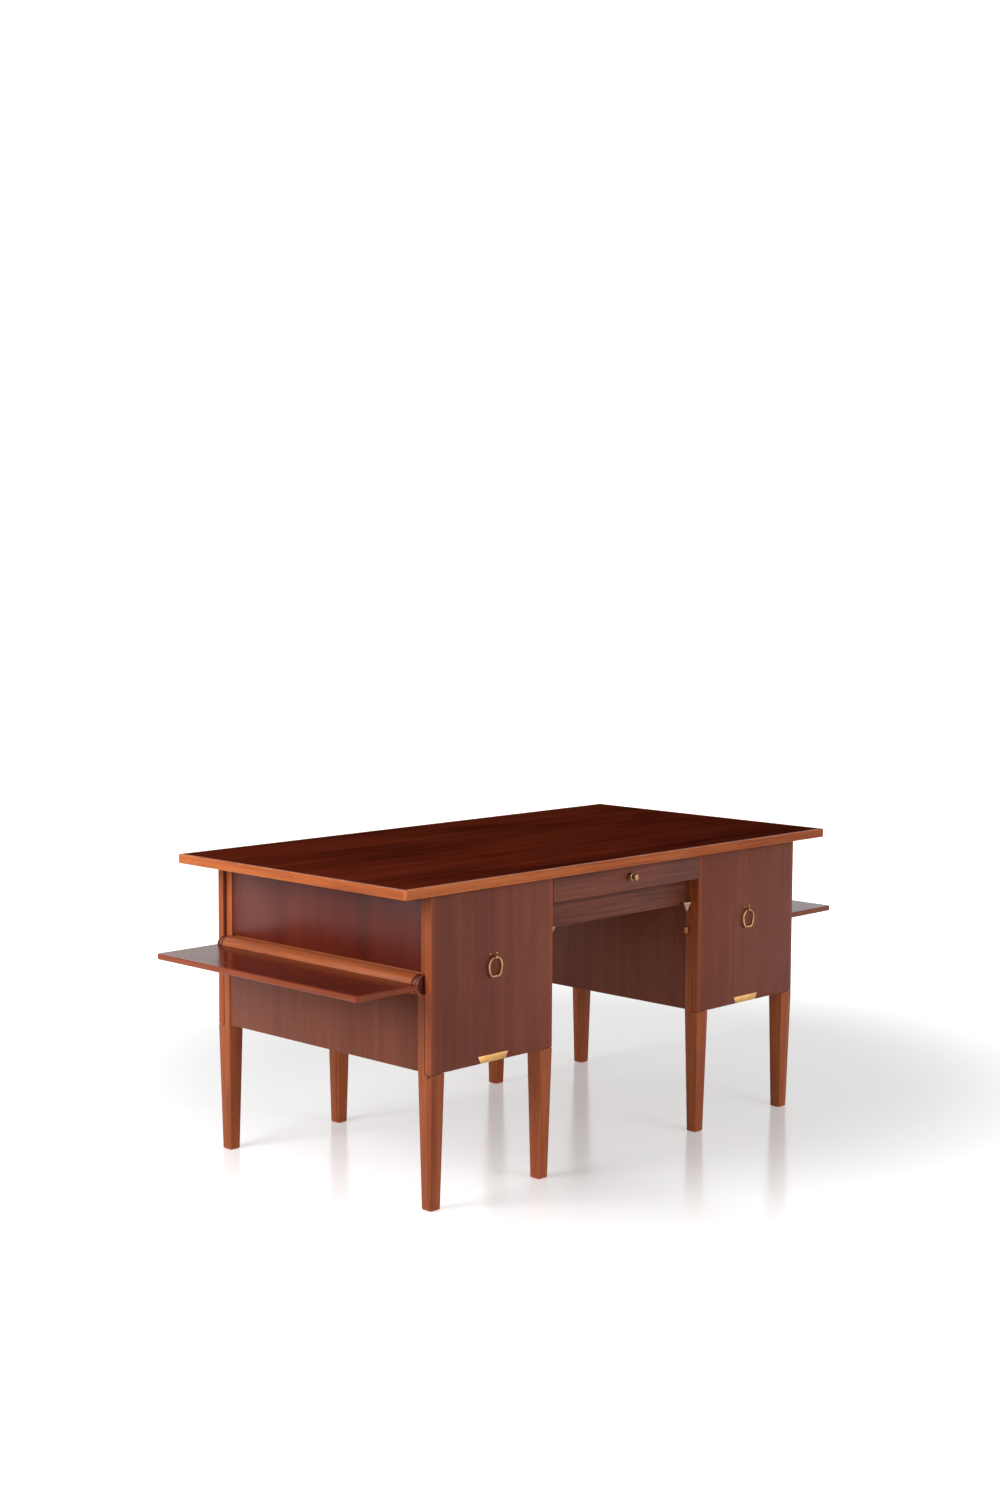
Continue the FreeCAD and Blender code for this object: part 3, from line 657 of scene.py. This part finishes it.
end_grain_and_shade_tones = (tone(52, 14, 9), tone(74, 22, 14), tone(92, 34, 22))
rod_wood = wood("turned_rod_wood", grain_along(1), solid_tones, figure=0.8,
                lipped=rod_end_grain_and_shade, lip_tones=end_grain_and_shade_tones)
leaf_tones = (tone(72, 17, 6), tone(97, 26, 10), tone(114, 36, 16))
leaf_edge_tones = (tone(106, 43, 20), tone(134, 60, 30), tone(156, 78, 42))
leaf_veneer = wood("leaf_veneer", grain_along(1), leaf_tones, figure=0.6,
                   lipped=leaf_edges, lip_tones=leaf_edge_tones, gloss=0.18, sheen=0.13)
for side in ("left", "right"):
    finish_node(f"{side}_leaf", 0.0, leaf_veneer)
    finish_node(f"{side}_leaf_rod", 0.0006, rod_wood)
browned_brass = metal("browned_strap_brass", tone(146, 104, 88), tone(98, 60, 50), 0.5, grain_along(1))
finish_node("leaf_straps", 0.0004, browned_brass)


# Drawers: level-grained fronts over pale boxes, each drawn by a turned brass knob on a stem
# that is screwed through the front.
for face in ("front", "back"):
    finish_node(f"{face}_drawer_front", 0.0008, level_veneer)
    finish_node(f"{face}_drawer_box", 0.0008, pale_deep)


knob_profile = [(0.0, 0.0068), (0.0003, 0.0070), (0.0018, 0.0070), (0.0021, 0.0074), (0.0027, 0.0090),
                (0.0033, 0.0095), (0.0045, 0.0095), (0.0120, 0.0095), (0.0128, 0.0093), (0.0134, 0.0084),
                (0.0139, 0.0066), (0.0143, 0.0060), (0.0158, 0.0060), (0.0162, 0.0064), (0.0166, 0.0074),
                (0.0172, 0.0080), (0.0185, 0.0080), (0.0232, 0.0080), (0.0242, 0.0077), (0.0248, 0.0070),
                (0.0250, 0.0060), (0.0249, 0.0030), (0.0249, 0.0004)]
knob_length = 0.025
knob_brass = metal("dulled_knob_brass", tone(200, 160, 118), tone(102, 72, 48), 0.32, grain_along(1))
for face, out in (("front", -1), ("back", 1)):
    node = f"{face}_drawer_knob"
    low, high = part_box(node)
    tip = low.y if out < 0 else high.y
    face_plane = tip - out * knob_length
    knob = turned(knob_profile, (0.0, face_plane, (low.z + high.z) / 2), (0, out, 0))
    settle(knob, node + "_turned", body_of[node], slot_of[node], knob_brass, node)


# Kneehole brass: cone-shaped pegs that hang point down beside the posts, and the small barrels
# of the door catches on the posts' kneehole faces. Both are turned and screwed in.
aged_brass = metal("aged_barrel_brass", tone(150, 104, 66), tone(104, 66, 40), 0.4, grain_along(2))
# The pegs' brass is pale with upright streaks: a painted reflection of the bright room on the turned cone.
peg_brass_painted_reflections = metal("pale_peg_brass_painted_reflections", tone(244, 224, 190), tone(160, 112, 70), 0.34, grain_along(2), 420.0)
peg_profile = [(0.0, 0.0008), (0.0003, 0.0013), (0.0009, 0.0018), (0.0222, 0.0107), (0.0230, 0.0113),
               (0.0235, 0.0115), (0.0238, 0.0114), (0.0240, 0.0110), (0.0239, 0.0040), (0.0239, 0.0004)]
barrel_profile = [(0.0, 0.0040), (0.0004, 0.0047), (0.0015, 0.0055), (0.0050, 0.0055), (0.0052, 0.0052),
                  (0.0058, 0.0052), (0.0060, 0.0055), (0.0165, 0.0055), (0.0176, 0.0047), (0.0180, 0.0040),
                  (0.0180, 0.0006)]
peg_low, peg_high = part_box("kneehole_pegs")
barrel_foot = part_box("catch_barrels")[0].z
post_x, peg_x, barrel_x = 0.275, 0.257, 0.2695
peg_y, stem_y, barrel_y = 0.355, 0.3525, 0.343
stem_profile = [(0.0, 0.0034), (post_x - peg_x, 0.0034)]
stem_drop = 0.0045
lug_half_width, lug_low, lug_high = 0.00275, 0.0055, 0.0125
pegs, barrels = [], []
for x_sign in (-1, 1):
    for y_sign in (-1, 1):
        pegs.append(turned(peg_profile, (x_sign * peg_x, y_sign * peg_y, peg_low.z), (0, 0, 1)))
        stem_seat = (x_sign * post_x, y_sign * stem_y, peg_high.z - stem_drop)
        pegs.append(turned(stem_profile, stem_seat, (-x_sign, 0, 0), sides=24))
        barrels.append(turned(barrel_profile, (x_sign * barrel_x, y_sign * barrel_y, barrel_foot), (0, 0, 1)))
        x_low, x_high = sorted((x_sign * post_x, x_sign * barrel_x))
        lug_from = (x_low, y_sign * barrel_y - lug_half_width, barrel_foot + lug_low)
        lug_to = (x_high, y_sign * barrel_y + lug_half_width, barrel_foot + lug_high)
        barrels.append(rounded_block(lug_from, lug_to, 0.0005))
settle(join(pegs), "kneehole_pegs_turned", "carcass", "brass", peg_brass_painted_reflections, "kneehole_pegs")
settle(join(barrels), "catch_barrels_turned", "carcass", "brass", aged_brass, "catch_barrels")


# Screws: slotted steel screws that hold the top down, driven up through the crowns, and the dark
# round-headed pins that lock the front doors' lower pivots, set in the legs' end faces under the doors.
screw_tree = head_tree("slotted_screws", True)
crown_low, crown_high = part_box("right_pedestal_crown")
screw_shares = (0.12, 0.5, 0.88)
screw_rows = (-0.29, -0.06, 0.06, 0.29)
for side, x_sign in (("left", -1), ("right", 1)):
    places = []
    for share in screw_shares:
        x = crown_low.x + share * (crown_high.x - crown_low.x)
        places += [((x_sign * x, y, crown_low.z), (0, 0, -1)) for y in screw_rows]
    set_heads(screw_tree, f"{side}_desktop_screws", "carcass", "steel", dark_steel, places,
              {"Foot radius": 0.0046, "Crown radius": 0.0036, "Height": 0.0017, "Slot width": 0.0011})

browned_steel = metal("browned_pin_steel", tone(74, 46, 36), tone(46, 26, 20), 0.5, grain_along(2))
leg_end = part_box("front_right_outer_leg")[1].x
lock_y, lock_drop = -0.371, 0.0054
lock_places = [((x_sign * leg_end, lock_y, door_low.z - lock_drop), (x_sign, 0, 0)) for x_sign in (-1, 1)]
set_heads(stud_tree, "pivot_lock_pins", "carcass", "steel", browned_steel, lock_places,
          {"Foot radius": 0.004, "Height": 0.0011})


# Studio: a pale sealed floor that takes a soft reflection and the desk's shadow and runs out to plain
# white, with a painted shadow pool where its glow for the camera is weakest, behind and right of the
# desk; a room that is dimmer overhead, and two soft lights, on the left and to the front right.
floor_material, floor_surface, floor_place = bare_material("pale_floor")
floor_surface.inputs["Base Color"].default_value = (0.9, 0.9, 0.9, 1)
floor_surface.inputs["Roughness"].default_value = 0.16
floor_surface.inputs["Specular IOR Level"].default_value = 0.45


def seen_white(tree):
    """One for what the camera sees, straight, mirrored or through glass, and nought for the light given."""
    ray = tree.nodes.new("ShaderNodeLightPath")
    seen = Shade(ray.outputs["Is Camera Ray"])
    for kind in ("Is Glossy Ray", "Is Transmission Ray"):
        seen = seen.sum("MAXIMUM", seen, Shade(ray.outputs[kind]))
    return seen


floor_tree = floor_material.node_tree
seen = seen_white(floor_tree)
# Painted shadow: the floor's glow is least round this point and rises to full white away from it.
painted_shadow_middle = (0.55, 0.3, 0.0)
painted_shadow_fade = floor_place.node("ShaderNodeVectorMath", {"operation": "DISTANCE"},
                        {0: floor_place, 1: painted_shadow_middle}, 1)
painted_shadow_fade = painted_shadow_fade.node("ShaderNodeMapRange", {"interpolation_type": "SMOOTHSTEP"},
                 {"Value": painted_shadow_fade, "From Min": 0.8, "From Max": 2.3, "To Min": 0.25, "To Max": 1.0})
glow = seen.node("ShaderNodeEmission", {}, {"Color": (1, 1, 1, 1), "Strength": painted_shadow_fade * seen})
both = glow.node("ShaderNodeAddShader", {}, {0: glow, 1: Shade(floor_surface.outputs[0])})
link(both, floor_tree.nodes["Material Output"].inputs["Surface"])
floor_mesh = bpy.data.meshes.new("studio_floor")
floor_mesh.from_pydata([(-30, -30, 0), (30, -30, 0), (30, 30, 0), (-30, 30, 0)], [], [(0, 1, 2, 3)])
floor_mesh.materials.append(floor_material)
studio_floor = bpy.data.objects.new("studio_floor", floor_mesh)
bpy.context.scene.collection.objects.link(studio_floor)
studio_floor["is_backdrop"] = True

world = bpy.data.worlds.new("studio_white")
bpy.context.scene.world = world
world.use_nodes = True
background = world.node_tree.nodes["Background"]
background.inputs["Color"].default_value = (1, 1, 1, 1)
seen = seen_white(world.node_tree)
way = Shade(world.node_tree.nodes.new("ShaderNodeTexCoord").outputs["Generated"])
rise = way.node("ShaderNodeSeparateXYZ", {}, {0: way}, 2)
dome = rise.node("ShaderNodeMapRange", {"interpolation_type": "SMOOTHSTEP"},
                 {"Value": rise, "From Min": 0.05, "From Max": 0.8, "To Min": 0.75, "To Max": 0.15})
link(dome + (1 - dome) * seen, background.inputs["Strength"])


def soft_light(name, place, aim, width, height, power):
    lamp = bpy.data.lights.new(name, "AREA")
    lamp.shape = "RECTANGLE"
    lamp.size = width
    lamp.size_y = height
    lamp.energy = power
    holder = bpy.data.objects.new(name, lamp)
    holder.location = place
    holder.rotation_euler = (Vector(aim) - Vector(place)).to_track_quat("-Z", "Y").to_euler()
    bpy.context.scene.collection.objects.link(holder)


soft_light("left_soft_light", (-2.8, 0.45, 1.6), (-0.4, 0.0, 0.6), width=1.4, height=1.4, power=52)
soft_light("camera_side_light", (0.5, -4.4, 1.7), (0.1, 0.0, 0.4), width=2.6, height=2.0, power=56)


# Camera: stood off the desk's front left corner at chest height, looking slightly down.
lens = bpy.data.cameras.new("photo_camera")
lens.lens = 51.15
lens.sensor_width = 36.0
camera = bpy.data.objects.new("photo_camera", lens)
stand = Vector((-3.9506, -3.7507, 1.4762))
yaw, pitch, roll = 0.8029, 0.0901, 0.0054
forward = Vector((math.sin(yaw) * math.cos(pitch), math.cos(yaw) * math.cos(pitch), -math.sin(pitch)))
right = Vector((math.cos(yaw), -math.sin(yaw), 0.0))
up = right.cross(forward)
level = right * math.cos(roll) + up * math.sin(roll)
upright = up * math.cos(roll) - right * math.sin(roll)
turn = Matrix((level, upright, -forward)).transposed().to_4x4()
camera.matrix_world = Matrix.Translation(stand) @ turn
bpy.context.scene.collection.objects.link(camera)
bpy.context.scene.camera = camera
bpy.context.scene.view_settings.view_transform = "Standard"

low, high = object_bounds()
